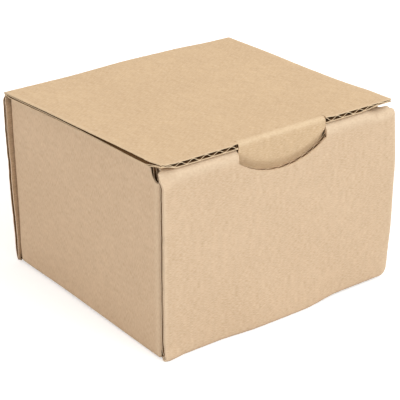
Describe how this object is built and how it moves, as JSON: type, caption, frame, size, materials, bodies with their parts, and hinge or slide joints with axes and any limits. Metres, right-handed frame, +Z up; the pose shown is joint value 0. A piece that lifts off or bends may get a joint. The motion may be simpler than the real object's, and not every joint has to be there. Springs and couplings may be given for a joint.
{
  "type": "closed cardboard box",
  "caption": "Closed mailing box folded from one corrugated cardboard blank, with a hinged lid whose tongue tucks behind the rolled front wall at a crescent thumb notch.",
  "frame": {"origin": "on the floor under the middle of the box", "axes": "+X along the front panel to its right, +Y from the front panel to the rear panel, +Z up"},
  "size_m": [0.127, 0.1164, 0.0868],
  "materials": {
    "board": "matte",
    "lid_board": "matte"
  },
  "bodies": {
    "tray": {"tray": "board"},
    "lid": {"lid": "lid_board"}
  },
  "joints": [
    {"name": "lid_hinge", "type": "hinge", "parent": "tray", "child": "lid", "pos_m": [0, 0.05825, 0.0814], "axis": [-1, 0, 0], "range_deg": [0, 180]}
  ]
}
